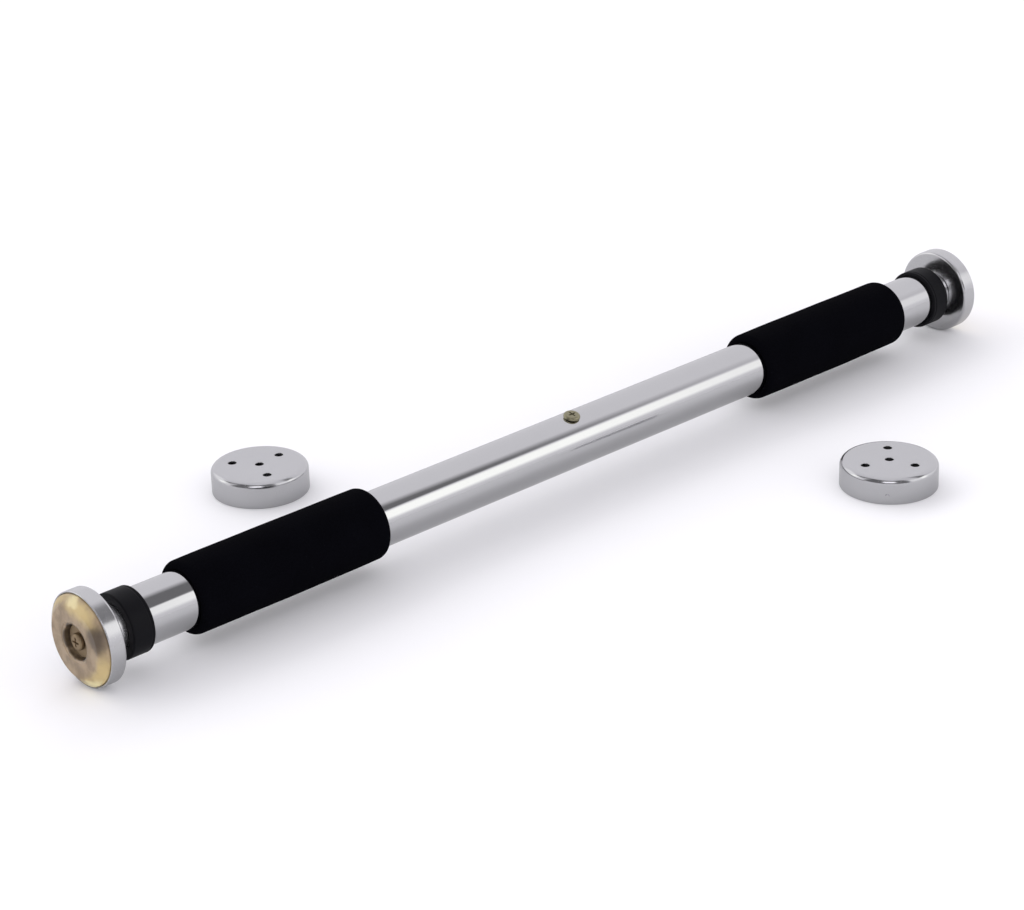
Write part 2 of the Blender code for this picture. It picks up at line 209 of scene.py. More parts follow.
def sewn(points, closed_along=True):
    """Vertices and faces of a grid of points [along, round, xyz], joined round and, if closed, along.

    Rows that shrink to one point on the axis become a single vertex, and empty faces are dropped.
    """
    rows, columns = points.shape[:2]
    ids = np.arange(rows * columns).reshape(rows, columns)
    spread = np.linalg.norm(points - points[:, :1], axis=2).max(axis=1)
    ids[spread < 1e-9] = ids[spread < 1e-9][:, :1]
    last = rows if closed_along else rows - 1
    here, there = np.arange(last), (np.arange(last) + 1) % rows
    turn = (np.arange(columns) + 1) % columns
    grid = [ids[here], ids[here][:, turn], ids[there][:, turn], ids[there]]
    quads = np.stack(grid, axis=2).reshape(-1, 4)
    step = np.roll(quads, -1, axis=1) == quads
    four = quads[~step.any(axis=1)]
    three = quads[step.sum(axis=1) == 1]
    keep = ~step[step.sum(axis=1) == 1]
    three = three[keep].reshape(-1, 3)
    used, back = np.unique(np.concatenate([four.ravel(), three.ravel()]), return_inverse=True)
    four, three = back[: four.size].reshape(-1, 4), back[four.size :].reshape(-1, 3)
    vertices = points.reshape(-1, 3)[used]
    triangles = np.concatenate([four[:, [0, 1, 2]], four[:, [0, 2, 3]], three])
    a, b, c = (vertices[triangles[:, k]] for k in range(3))
    if np.einsum("ij,ij->i", a, np.cross(b, c)).sum() < 0:
        four, three = four[:, ::-1], three[:, ::-1]
    return vertices, four.tolist() + three.tolist()


def piece_from(name, vertices, faces, material):
    mesh = bpy.data.meshes.new(name)
    mesh.from_pydata(vertices.tolist(), [], faces)
    mesh.materials.append(material)
    mesh.update()
    mesh.shade_smooth()
    mesh.set_sharp_from_angle(angle=SHARP_ANGLE)
    piece = bpy.data.objects.new(name, mesh)
    bpy.context.scene.collection.objects.link(piece)
    return piece


class Axis:
    """A turning axis: where it stands, which way is along, and the two directions across."""

    def __init__(self, centre, along, across):
        self.centre = np.array(centre, float)
        self.along = np.array(along, float)
        self.across = np.array(across, float)
        self.third = np.cross(self.along, self.across)

    def points(self, along, radius, turn):
        """centre + along * A + radius * (cos(turn) * B + sin(turn) * C), on broadcast arrays."""
        along, radius, turn = np.broadcast_arrays(along, radius, turn)
        round_part = np.cos(turn)[..., None] * self.across + np.sin(turn)[..., None] * self.third
        return self.centre + along[..., None] * self.along + radius[..., None] * round_part


def turns(count):
    return np.linspace(0.0, 2 * math.pi, count, endpoint=False)


def lathe(name, corners, axis, facets, material, steps=8, relief=None):
    """Carries a closed outline once round an axis. relief(along, radius, turn) adds to the radius."""
    profile = outline(corners, steps)
    along, radius = profile[:, :1], profile[:, 1:]
    turn = turns(facets)[None]
    full = radius + (relief(along, radius, turn) if relief else 0.0 * turn)
    return piece_from(name, *sewn(axis.points(along, full, turn)), material)


def carve(piece, cutters):
    """Takes solid cutters out of a piece, and leaves a plain mesh."""
    for cutter in cutters:
        boolean = piece.modifiers.new(cutter.name, "BOOLEAN")
        boolean.operation = "DIFFERENCE"
        boolean.solver = "EXACT"
        boolean.object = cutter
    graph = bpy.context.evaluated_depsgraph_get()
    cut = bpy.data.meshes.new_from_object(piece.evaluated_get(graph))
    piece.modifiers.clear()
    old, piece.data = piece.data, cut
    bpy.data.meshes.remove(old)
    cut.shade_smooth()
    cut.set_sharp_from_angle(angle=SHARP_ANGLE)
    for cutter in cutters:
        bpy.data.meshes.remove(cutter.data)
    return piece


def hole_cutter(radius, depth, mouth, axis, material, facets=48):
    """A round cutter that goes depth into a face. A quarter round of size mouth widens its outer end."""
    quarter = np.linspace(0.0, math.pi / 2, 7)
    flare_along = -mouth * (1 - np.sin(quarter))
    flare_radius = radius + mouth * (1 - np.cos(quarter))
    along = np.concatenate([[-depth, -depth], flare_along, [mouth * 2, mouth * 2]])
    wide = radius + mouth
    radii = np.concatenate([[0.0, radius], flare_radius, [wide, 0.0]])
    points = axis.points(along[:, None], radii[:, None], turns(facets)[None])
    return piece_from("cutter", *sewn(points, closed_along=False), material)


# Where the CAD nodes are


def bar_axis(side="right"):
    """The bar's axis, from the main tube. The left side's is turned half way round."""
    low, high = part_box("main_tube")
    sign = -1.0 if side == "left" else 1.0
    centre = ((low.x + high.x) / 2, (low.y + high.y) / 2, (low.z + high.z) / 2)
    return Axis(centre, (sign, 0, 0), (0, sign, 0))


def core_top(radius, roll):
    """An axis that stands on the bar's axis at its middle, leaning with the rolled tube."""
    up = np.array([0.0, -math.sin(roll), math.cos(roll)])
    return Axis(bar_axis().centre + radius * up, up, (1, 0, 0))


def reach(node):
    """(nearest end, furthest end, outer radius) of a turned node, measured from the bar's middle."""
    low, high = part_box(node)
    middle = bar_axis().centre
    ends = sorted((abs(low.x - middle[0]), abs(high.x - middle[0])))
    return ends[0], ends[1], max(high.z - middle[2], high.y - middle[1])


def place(piece, node, body, slot):
    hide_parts(node)
    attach(piece, body)
    return piece


# Shader groups


class Nodes:
    """Short calls for building a node tree."""

    def __init__(self, tree):
        self.tree = tree

    def fill(self, node, inputs):
        """Links or sets each of a node's inputs."""
        for key, value in inputs.items():
            if isinstance(value, bpy.types.NodeSocket):
                self.tree.links.new(value, node.inputs[key])
            else:
                node.inputs[key].default_value = value

    def add(self, kind, inputs=None, **settings):
        node = self.tree.nodes.new(kind)
        for key, value in settings.items():
            setattr(node, key, value)
        self.fill(node, inputs or {})
        return node

    def grouped(self, tree, inputs):
        return self.add("ShaderNodeGroup", inputs, node_tree=tree).outputs

    def math(self, operation, a, b=0.0, c=0.0):
        return self.add("ShaderNodeMath", {0: a, 1: b, 2: c}, operation=operation).outputs[0]

    def times(self, a, b):
        return self.math("MULTIPLY", a, b)

    def times_plus(self, a, b, c):
        return self.math("MULTIPLY_ADD", a, b, c)

    def minus(self, a, b):
        return self.math("SUBTRACT", a, b)

    def vector(self, operation, inputs):
        return self.add("ShaderNodeVectorMath", inputs, operation=operation).outputs

    def stretch(self, value, low, high, to_low, to_high, smooth=False):
        kind = "SMOOTHSTEP" if smooth else "LINEAR"
        inputs = {"Value": value, "From Min": low, "From Max": high, "To Min": to_low, "To Max": to_high}
        return self.add("ShaderNodeMapRange", inputs, interpolation_type=kind).outputs["Result"]

    def noise(self, vector, scale, detail=3.0, roughness=0.5):
        inputs = {"Vector": vector, "Scale": scale, "Detail": detail, "Roughness": roughness}
        return self.add("ShaderNodeTexNoise", inputs).outputs["Fac"]

    def scaled(self, vector, scale):
        return self.add("ShaderNodeMapping", {"Vector": vector, "Scale": scale}).outputs["Vector"]

    def mix(self, share, a, b):
        return self.add("ShaderNodeMix", {0: share, 6: a, 7: b}, data_type="RGBA").outputs[2]


def group(name, inputs, outputs, build):
    """A shader node group with named sockets, made once. build(nodes, entry) gives its outputs by name."""
    if name in bpy.data.node_groups:
        return bpy.data.node_groups[name]
    tree = bpy.data.node_groups.new(name, "ShaderNodeTree")
    for label, kind in inputs:
        tree.interface.new_socket(name=label, in_out="INPUT", socket_type=kind)
    for label, kind in outputs:
        tree.interface.new_socket(name=label, in_out="OUTPUT", socket_type=kind)
    nodes = Nodes(tree)
    entry = nodes.add("NodeGroupInput")
    leave = nodes.add("NodeGroupOutput")
    for label, socket in build(nodes, entry.outputs).items():
        tree.links.new(socket, leave.inputs[label])
    return tree


FLOAT, VECTOR, COLOUR = "NodeSocketFloat", "NodeSocketVector", "NodeSocketColor"


def plate_wear():
    """Handling marks on plated metal: cloudy smears, drawn lines along the work, and fine pits."""

    def build(nodes, entry):
        vector = entry["Vector"]
        smear = nodes.stretch(nodes.noise(vector, 34.0, 4.0, 0.6), 0.42, 0.72, 0.0, 1.0, True)
        drawn = nodes.noise(nodes.scaled(vector, (14.0, 900.0, 900.0)), 1.0, 2.0, 0.5)
        pits = nodes.stretch(nodes.noise(vector, 1900.0, 1.0), 0.66, 0.78, 0.0, 1.0)
        rough = nodes.times_plus(smear, entry["Smear"], entry["Roughness"])
        rough = nodes.times_plus(nodes.times(pits, entry["Pits"]), 0.25, rough)
        height = nodes.times(drawn, entry["Drawn"])
        height = nodes.times_plus(nodes.times(pits, entry["Pits"]), -0.6, height)
        shade = nodes.stretch(smear, 0.0, 1.0, 1.0, 0.95)
        return {"Roughness": rough, "Height": height, "Shade": shade}

    inputs = [("Vector", VECTOR), ("Roughness", FLOAT), ("Smear", FLOAT), ("Drawn", FLOAT), ("Pits", FLOAT)]
    return group("plate_wear", inputs, [("Roughness", FLOAT), ("Height", FLOAT), ("Shade", FLOAT)], build)


def cell_grain():
    """Skin of closed-cell foam or moulded plastic: round cells of one size over a softer mottle."""

    def build(nodes, entry):
        vector = entry["Vector"]
        wobble = nodes.noise(vector, 300.0, 2.0)
        inputs = {"Vector": vector, "Scale": entry["Cells"], "Smoothness": 0.6}
        cells = nodes.add("ShaderNodeTexVoronoi", inputs, feature="SMOOTH_F1").outputs["Distance"]
        pores = nodes.stretch(cells, 0.15, 0.65, 0.0, 1.0, True)
        height = nodes.times_plus(wobble, 0.8, nodes.times(pores, -1.0))
        mottle = nodes.stretch(nodes.noise(vector, 42.0, 3.0), 0.3, 0.7, 0.0, 1.0)
        mask = nodes.times_plus(pores, 0.55, nodes.times(mottle, 0.45))
        return {"Height": height, "Mask": mask}

    inputs = [("Vector", VECTOR), ("Cells", FLOAT)]
    return group("cell_grain", inputs, [("Height", FLOAT), ("Mask", FLOAT)], build)


def clouding():
    """Slow drift between two colours, as in cast rubber, with small bubbles and flecks."""

    def build(nodes, entry):
        vector = entry["Vector"]
        slow = nodes.stretch(nodes.noise(vector, entry["Scale"], 4.0, 0.55), 0.36, 0.66, 0.0, 1.0, True)
        flecks = nodes.stretch(nodes.noise(vector, 1500.0, 2.0), 0.62, 0.74, 0.0, 0.35)
        return {"Mask": nodes.math("MAXIMUM", slow, flecks)}

    return group("clouding", [("Vector", VECTOR), ("Scale", FLOAT)], [("Mask", FLOAT)], build)


def arc_patch():
    """A soft-edged patch of a disc: 1 inside a span of angles and a span of radii, 0 outside."""

    def build(nodes, entry):
        away = nodes.math("ABSOLUTE", nodes.minus(entry["Angle"], entry["Middle"]))
        away = nodes.math("DIVIDE", away, entry["Half Angle"])
        out = nodes.math("ABSOLUTE", nodes.minus(entry["Radius"], entry["Ring"]))
        out = nodes.math("DIVIDE", out, entry["Half Ring"])
        squares = nodes.math("ADD", nodes.math("POWER", away, 2.0), nodes.math("POWER", out, 2.0))
        far = nodes.math("SQRT", squares)
        return {"Mask": nodes.stretch(far, 0.25, 1.15, 1.0, 0.0, True)}

    labels = ("Angle", "Middle", "Half Angle", "Radius", "Ring", "Half Ring")
    return group("arc_patch", [(label, FLOAT) for label in labels], [("Mask", FLOAT)], build)


# Materials


def rgba(colour_value, factor=1.0):
    return (*(channel * factor for channel in colour_value), 1.0)


def blank_material(name, **constants):
    """A material with its Principled shader's constants set, and calls for the rest of its tree."""
    material = bpy.data.materials.new(name)
    material.use_nodes = True
    nodes = Nodes(material.node_tree)
    shader = material.node_tree.nodes["Principled BSDF"]
    for key, value in constants.items():
        shader.inputs[key.replace("_", " ")].default_value = value
    vector = nodes.add("ShaderNodeTexCoord").outputs["Object"]
    return material, nodes, shader, vector


def connect_bump(nodes, shader, height, strength, distance):
    bump = nodes.add("ShaderNodeBump", {"Height": height, "Strength": strength, "Distance": distance})
    nodes.tree.links.new(bump.outputs["Normal"], shader.inputs["Normal"])


def plated(name, base, roughness, smear=0.03, drawn=0.0, pits=0.0, bump=0.08):
    """Plated or bare metal: mirror shader, wear in its roughness, and a faint relief."""
    material, nodes, shader, vector = blank_material(name, Metallic=1.0)
    inputs = {"Vector": vector, "Roughness": roughness, "Smear": smear, "Drawn": drawn, "Pits": pits}
    wear = nodes.grouped(plate_wear(), inputs)
    tint = nodes.mix(wear["Shade"], rgba(base, 0.72), rgba(base))
    nodes.fill(shader, {"Base Color": tint, "Roughness": wear["Roughness"]})
    connect_bump(nodes, shader, wear["Height"], bump, 0.02 * MM)
    return material


def moulded(name, base, roughness, cells, bump, depth, specular):
    """Foam or moulded plastic: a dark body with a skin of cells."""
    material, nodes, shader, vector = blank_material(name, Specular_IOR_Level=specular)
    grain = nodes.grouped(cell_grain(), {"Vector": vector, "Cells": cells})
    tint = nodes.mix(grain["Mask"], rgba(base), rgba(base, 1.9))
    rough = nodes.stretch(grain["Mask"], 0.0, 1.0, roughness, min(1.0, roughness + 0.12))
    nodes.fill(shader, {"Base Color": tint, "Roughness": rough})
    connect_bump(nodes, shader, grain["Height"], bump, depth)
    return material


def cast_rubber(name, colours):
    """Translucent amber rubber: a dull face with painted shade in its recess, a painted dark reflection, and
    patches of painted light and painted highlights at its shoulder.

    The patches stand round the bar's axis, at angles in degrees from -Y towards +Z, on rings in
    millimetres. Noise bends their edges by up to 3 mm.
    """
    material, nodes, shader, vector = blank_material(
        name, Subsurface_Weight=0.12, Subsurface_Scale=0.003, Specular_IOR_Level=0.5, Coat_Weight=0.35
    )
    shader.inputs["Subsurface Radius"].default_value = (1.0, 0.62, 0.25)
    shader.inputs["Coat Roughness"].default_value = 0.12
    centre = bar_axis().centre
    wavy = nodes.vector("ADD", {0: vector, 1: (0.0, -centre[1], -centre[2])})[0]
    drift = nodes.add("ShaderNodeTexNoise", {"Vector": vector, "Scale": 160.0, "Detail": 2.0}).outputs["Color"]
    drift = nodes.vector("SUBTRACT", {0: drift, 1: (0.5, 0.5, 0.5)})[0]
    wavy = nodes.vector("MULTIPLY_ADD", {0: drift, 1: (0.006, 0.006, 0.006), 2: wavy})[0]
    parts = nodes.add("ShaderNodeSeparateXYZ", {0: wavy}).outputs
    angle_round = nodes.math("ARCTAN2", parts["Z"], nodes.times(parts["Y"], -1.0))
    angle_round = nodes.times(angle_round, 180 / math.pi)
    flat = nodes.vector("MULTIPLY", {0: wavy, 1: (0.0, 1.0, 1.0)})[0]
    radius = nodes.vector("LENGTH", {0: flat})["Value"]

    def patch(middle, half_angle, ring, half_ring):
        values = {"Angle": angle_round, "Radius": radius, "Middle": middle, "Half Angle": half_angle}
        values.update({"Ring": ring * MM, "Half Ring": half_ring * MM})
        return nodes.grouped(arc_patch(), values)["Mask"]

    cloud = nodes.grouped(clouding(), {"Vector": vector, "Scale": 150.0})["Mask"]
    share = nodes.stretch(cloud, 0.0, 1.0, 0.0, 0.42)
    look = nodes.mix(share, rgba(colours.rubber), rgba(colours.rubber_deep_and_painted_shade))
    # Painted light and painted highlights: patches at the shoulder where light shining through the amber and
    # the reflection of bright lamps are painted into the colour.
    lit = nodes.math("MAXIMUM", patch(74.0, 46.0, 20.5, 6.5), patch(-40.0, 54.0, 23.0, 6.0))
    lit = nodes.math("MAXIMUM", lit, nodes.times(patch(135.0, 42.0, 24.0, 4.0), 0.8))
    look = nodes.mix(nodes.times(lit, 0.85), look, rgba(colours.rubber_painted_light))
    # Painted highlights: two small bright glints painted into the colour at the shoulder.
    painted_glint = (0.80, 0.72, 0.40, 1.0)
    look = nodes.mix(nodes.times(patch(-66.0, 26.0, 23.2, 3.2), 0.75), look, painted_glint)
    look = nodes.mix(nodes.times(patch(92.0, 16.0, 22.5, 3.2), 0.5), look, painted_glint)
    # Painted shade inside the recess, and a painted dark reflection in a patch on the face, darken the colour.
    recess = nodes.stretch(radius, 0.0093, 0.0108, 1.0, 0.0, True)
    dark = nodes.math("MAXIMUM", patch(24.0, 26.0, 19.5, 8.0), recess)
    look = nodes.mix(nodes.times(dark, 0.88), look, rgba(colours.rubber_deep_and_painted_shade, 0.6))
    rough = nodes.stretch(cloud, 0.0, 1.0, 0.30, 0.46)
    nodes.fill(shader, {"Base Color": look, "Roughness": rough})
    connect_bump(nodes, shader, cloud, 0.25, 0.15 * MM)
    return material


def finishes(context):
    """The object's materials by name, made once. The loaded CAD's plain materials have the bare names."""
    colours = context.scene.pull_up_bar_colours
    makers = {
        "tube_chrome": lambda n: plated(n, colours.chrome, 0.065, 0.035, drawn=1.0, pits=0.3),
        "sleeve_chrome": lambda n: plated(n, colours.sleeve, 0.24, 0.08, drawn=1.0, pits=0.4),
        "disc_chrome": lambda n: plated(n, colours.chrome, 0.16, 0.08, pits=0.6),
        "cup_chrome": lambda n: plated(n, colours.cup_chrome, 0.14, 0.06, pits=0.6),
        "screw_brass": lambda n: plated(n, colours.screw, 0.30, 0.15, pits=1.0, bump=0.3),
        "pad_screw_brass": lambda n: plated(n, colours.pad_screw, 0.42, 0.15, pits=1.0, bump=0.3),
        "nut_brass": lambda n: plated(n, colours.brass, 0.24, 0.10, drawn=0.5, pits=0.5, bump=0.2),
        "zinc_steel": lambda n: plated(n, colours.zinc, 0.34, 0.15, drawn=0.6, pits=0.8, bump=0.25),
        "grip_foam": lambda n: moulded(n, colours.foam, 0.90, 1300.0, 0.6, 0.12 * MM, 0.015),
        "collar_plastic": lambda n: moulded(n, colours.plastic, 0.40, 2600.0, 0.12, 0.03 * MM, 0.11),
        "ring_nylon": lambda n: moulded(n, colours.nylon, 0.42, 2600.0, 0.10, 0.03 * MM, 0.45),
        "pad_rubber": lambda n: cast_rubber(n, colours),
    }
    made = {}
    for name, make in makers.items():
        full_name = f"{name}_surface"
        made[name] = bpy.data.materials.get(full_name) or make(full_name)
    return made


# Pieces


class PieceOperator(bpy.types.Operator):
    """Makes one kind of piece"""

    bl_options = {"REGISTER", "UNDO"}

    def execute(self, context):
        self.sizes = context.scene.pull_up_bar_sizes
        self.finish = finishes(context)
        self.make()
        return {"FINISHED"}

    def turned(
        self, name, node, body, finish, corners, axis, steps=5, facets=0, cutters=(), relief=None, slot=""
    ):
        """Turns a piece, cuts it, and puts it in place of its node. The slot is not used."""
        facets = facets or self.sizes.round_facets
        piece = lathe(name, corners, axis, facets, self.finish[finish], steps, relief)
        if cutters:
            carve(piece, cutters)
        return place(piece, node, body, slot or finish)


class BAR_OT_main_tube(PieceOperator):
    """Makes the main tube, with the hole for its centre screw"""

    bl_idname = "pull_up_bar.main_tube"
    bl_label = "Main tube"

    def make(self):
        _, end, radius = reach("main_tube")
        bore = radius - self.sizes.tube_wall
        near_hole = [sign * 5.5 * MM for sign in (-1, 1)]
        corners = [
            (-end, bore, 0.2 * MM), *((x, bore, 0.0) for x in near_hole), (end, bore, 0.2 * MM),
            (end, radius, 0.4 * MM), *((x, radius, 0.0) for x in reversed(near_hole)),
            (-end, radius, 0.4 * MM),
        ]
        top = core_top(radius, self.sizes.tube_roll)
        hole = hole_cutter(SCREW_HOLE, 6 * MM, 0.15 * MM, top, self.finish["tube_chrome"])
        self.turned(
            "main_tube_shell", "main_tube", "bar", "tube_chrome", corners, bar_axis(),
            facets=self.sizes.round_facets + MORE_FACETS, cutters=[hole],
        )


class BAR_OT_grips(PieceOperator):
    """Makes the two foam grips"""

    bl_idname = "pull_up_bar.grips"
    bl_label = "Foam grips"

    def make(self):
        _, _, tube_radius = reach("main_tube")
        for side in SIDES:
            start, end, radius = reach(f"{side}_grip")
            bore = tube_radius + 0.12 * MM
            middle, half = (start + end) / 2, (end - start) / 2
            swell = self.sizes.grip_swell
            lean = 0.0 if side == "left" else 1.7

            def relief(along, wide, turn):
                """A low crown between the ends, and a slow unevenness of the skin."""
                skin = np.clip((wide - bore) / (radius - bore), 0.0, 1.0)
                crown = swell * (1 - ((along - middle) / half) ** 2)
                drift = 0.05 * MM * np.sin(3 * turn + 55 * along + lean)
                drift = drift + 0.04 * MM * np.sin(2 * turn - 130 * along + 2.1 * lean)
                return skin * (crown - swell + drift)

            stations = np.linspace(start, end, 41)[1:-1]
            corners = [
                (start, bore, 0.5 * MM), (end, bore, 0.5 * MM), (end, radius, self.sizes.grip_round),
                *((x, radius, 0.0) for x in stations[::-1] if start + 5 * MM < x < end - 5 * MM),
                (start, radius, self.sizes.grip_round),
            ]
            names = (f"{side}_grip_foam", f"{side}_grip", "bar", "grip_foam")
            self.turned(*names, corners, bar_axis(side), 12, relief=relief)


class BAR_OT_collars(PieceOperator):
    """Makes the plastic collars over the tube's ends"""

    bl_idname = "pull_up_bar.collars"
    bl_label = "Collars"

    def make(self):
        _, tube_end, tube_radius = reach("main_tube")
        _, _, sleeve_radius = reach("right_sleeve")
        tube_bore = tube_radius - self.sizes.tube_wall
        over_tube, groove_depth = tube_radius + GAP / 2, 0.25 * MM
        for side in SIDES:
            start, end, radius = reach(f"{side}_collar")
            lip = end - 13.5 * MM
            corners = [
                (start, sleeve_radius + GAP, 0.5 * MM), (end, sleeve_radius + GAP, 0.6 * MM),
                (end, radius, 0.9 * MM), (lip + 2.6 * MM, radius, 0.5 * MM),
                (lip + 2.2 * MM, radius - groove_depth, 0.2 * MM),
                (lip + 1.6 * MM, radius - groove_depth, 0.2 * MM),
                (lip + 1.2 * MM, radius, 0.4 * MM), (lip, radius, 0.9 * MM),
                (lip, over_tube, 0.3 * MM), (tube_end + GAP, over_tube, 0.2 * MM),
                (tube_end + GAP, tube_bore - GAP, 0.2 * MM), (start, tube_bore - GAP, 0.6 * MM),
            ]
            names = (f"{side}_collar_cap", f"{side}_collar", "bar", "collar_plastic")
            self.turned(*names, corners, bar_axis(side), 6)


class BAR_OT_sleeves(PieceOperator):
    """Makes the inner sleeves that telescope out of the tube"""

    bl_idname = "pull_up_bar.sleeves"
    bl_label = "Sleeves"

    def make(self):
        for side in SIDES:
            start, end, radius = reach(f"{side}_sleeve")
            ring_start, ring_end, _ = reach(f"{side}_guide_ring")
            nut_start, nut_end, _ = reach(f"{side}_drive_nut")
            bore, groove = radius - self.sizes.sleeve_wall, radius - 0.6 * MM
            corners = [
                (start, bore, 0.3 * MM), (end, bore, 0.3 * MM), (end, radius, 0.4 * MM),
                (ring_end + GAP, radius, 0.15 * MM), (ring_end + GAP, groove, 0.15 * MM),
                (ring_start - GAP, groove, 0.15 * MM), (ring_start - GAP, radius, 0.15 * MM),
                (start, radius, 0.4 * MM),
            ]
            axis = bar_axis(side)
            hole_place = axis.centre + (nut_start + nut_end) / 2 * axis.along + (0.0, 0.0, radius)
            upright = Axis(hole_place, (0, 0, 1), (1, 0, 0))
            hole = hole_cutter(LOCK_HOLE, 3 * MM, 0.1 * MM, upright, self.finish["sleeve_chrome"])
            names = (f"{side}_sleeve_tube", f"{side}_sleeve", f"{side}_foot", "sleeve_chrome")
            self.turned(*names, corners, axis, cutters=[hole])


class BAR_OT_discs(PieceOperator):
    """Makes the two chrome end discs"""

    bl_idname = "pull_up_bar.discs"
    bl_label = "End discs"

    def make(self):
        for side in SIDES:
            back, front, radius = reach(f"{side}_disc")
            floor = back + self.sizes.disc_floor
            inner = radius - self.sizes.disc_rim
            corners = [
                (back, PAD_SCREW_BORE, 0.2 * MM), (floor, PAD_SCREW_BORE, 0.2 * MM),
                (floor, inner, 0.4 * MM), (front, inner, 0.25 * MM),
                (front, radius, 0.5 * MM), (back, radius, self.sizes.disc_round),
            ]
            names = (f"{side}_end_disc", f"{side}_disc", f"{side}_foot", "disc_chrome")
            self.turned(*names, corners, bar_axis(side), 12, self.sizes.round_facets + MORE_FACETS)


class BAR_OT_pads(PieceOperator):
    """Makes the rubber pads in the discs"""

    bl_idname = "pull_up_bar.pads"
    bl_label = "Rubber pads"

    def make(self):
        for side in SIDES:
            back, front, rim = reach(f"{side}_pad")
            floor = front - self.sizes.pad_recess_depth
            recess, face = self.sizes.pad_recess, self.sizes.pad_face
            shoulder, ledge = front - 3.4 * MM, front - 0.35 * MM
            corners = [
                (back, PAD_SCREW_BORE, 0.0), (floor, PAD_SCREW_BORE, 0.0), (floor, recess, 0.5 * MM),
                (ledge, recess, 0.7 * MM), (ledge, recess + 1.5 * MM, 0.5 * MM),
                (front, recess + 2.0 * MM, 0.4 * MM), (front, face, 1.8 * MM),
                (shoulder, rim, 1.2 * MM), (back, rim, 0.6 * MM),
            ]
            names = (f"{side}_rubber_pad", f"{side}_pad", f"{side}_foot", "pad_rubber")
            self.turned(*names, corners, bar_axis(side), 8)


def cross_cutters(tip, size_across, width, depth, axis, material, blades=2):
    """Tapered blades for a slot or cross recess whose mouth lies at tip along the axis."""
    cutters = []
    for first, second in ((axis.across, axis.third), (axis.third, axis.across))[:blades]:
        shares = np.array([-depth, 0.6 * MM])
        halves = np.array([[0.45, 0.35], [0.5 + 0.1, 0.5 + 0.06]]) * (size_across, width)
        corners = []
        for share, (long_half, short_half) in zip(shares, halves):
            level = axis.centre + (tip + share) * axis.along
            for a, b in ((-1, -1), (1, -1), (1, 1), (-1, 1)):
                corners.append(level + a * long_half * first + b * short_half * second)
        sides = [[0, 4, 5, 1], [1, 5, 6, 2], [2, 6, 7, 3], [3, 7, 4, 0]]
        faces = np.array([[0, 1, 2, 3], [4, 7, 6, 5], *sides])
        vertices = np.array(corners)
        a, b, c = (vertices[faces[:, k]] for k in range(3))
        outward = np.einsum("ij,ij->i", a - vertices.mean(axis=0), np.cross(b - a, c - a)).sum()
        faces = faces if outward > 0 else faces[:, ::-1]
        cutters.append(piece_from("cutter", vertices, faces.tolist(), material))
    return cutters


class BAR_OT_end_fasteners(PieceOperator):
    """Makes the pads' washers and screws, and the plugs that the screws go into"""

    bl_idname = "pull_up_bar.end_fasteners"
    bl_label = "End fasteners"

    def make(self):
        for side in SIDES:
            axis, foot = bar_axis(side), f"{side}_foot"
            start, end, radius = reach(f"{side}_washer")
            corners = [
                (start, PAD_SCREW_BORE, 0.15 * MM), (end, PAD_SCREW_BORE, 0.15 * MM),
                (end, radius, 0.3 * MM), (start, radius, 0.3 * MM),
            ]
            names = (f"{side}_pad_washer", f"{side}_washer", foot, "pad_screw_brass")
            self.turned(*names, corners, axis, facets=96, slot="screw_brass")

            tip, head_end, head = reach(f"{side}_pad_screw")
            head_start, shank = end + GAP, 2.9 * MM
            corners = [
                (tip, 0.0, 0.0), (head_end, 0.0, 0.0), (head_end, head, 1.3 * MM),
                (head_start, head, 0.2 * MM), (head_start, shank, 0.2 * MM), (tip, shank, 0.8 * MM),
            ]
            brass = self.finish["pad_screw_brass"]
            cross = cross_cutters(head_end, 4.8 * MM, 1.1 * MM, 1.5 * MM, axis, brass)
            names = (f"{side}_pad_bolt", f"{side}_pad_screw", foot, "pad_screw_brass")
            self.turned(*names, corners, axis, 8, 96, cross, slot="screw_brass")

            start, end, radius = reach(f"{side}_plug")
            corners = [
                (start, 0.0, 0.0), (end - 18 * MM, 0.0, 0.0), (end - 17 * MM, PAD_SCREW_BORE, 0.0),
                (end, PAD_SCREW_BORE, 0.3 * MM), (end, radius, 0.3 * MM), (start, radius, 0.9 * MM),
            ]
            names = (f"{side}_tapped_plug", f"{side}_plug", foot, "zinc_steel")
            self.turned(*names, corners, axis, facets=96)


class BAR_OT_centre_screw(PieceOperator):
    """Makes the button-head screw in the middle of the tube"""

    bl_idname = "pull_up_bar.centre_screw"
    bl_label = "Centre screw"

    def make(self):
        low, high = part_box("centre_screw")
        _, _, tube_radius = reach("main_tube")
        axis = core_top(0.0, self.sizes.tube_roll)
        head, shank, tip = (high.x - low.x) / 2, 2.0 * MM, 1.5 * MM
        seat = tube_radius + GAP
        top = seat + 2.0 * MM
        corners = [
            (tip, 0.0, 0.0), (top, 0.0, 0.0), (top, head, 1.5 * MM),
            (seat, head, 0.2 * MM), (seat, shank, 0.2 * MM), (tip, shank, 0.4 * MM),
        ]
        cross = cross_cutters(top, 4.4 * MM, 0.9 * MM, 1.1 * MM, axis, self.finish["screw_brass"])
        names = ("centre_button_screw", "centre_screw", "bar", "screw_brass")
        self.turned(*names, corners, axis, 8, 96, cross)


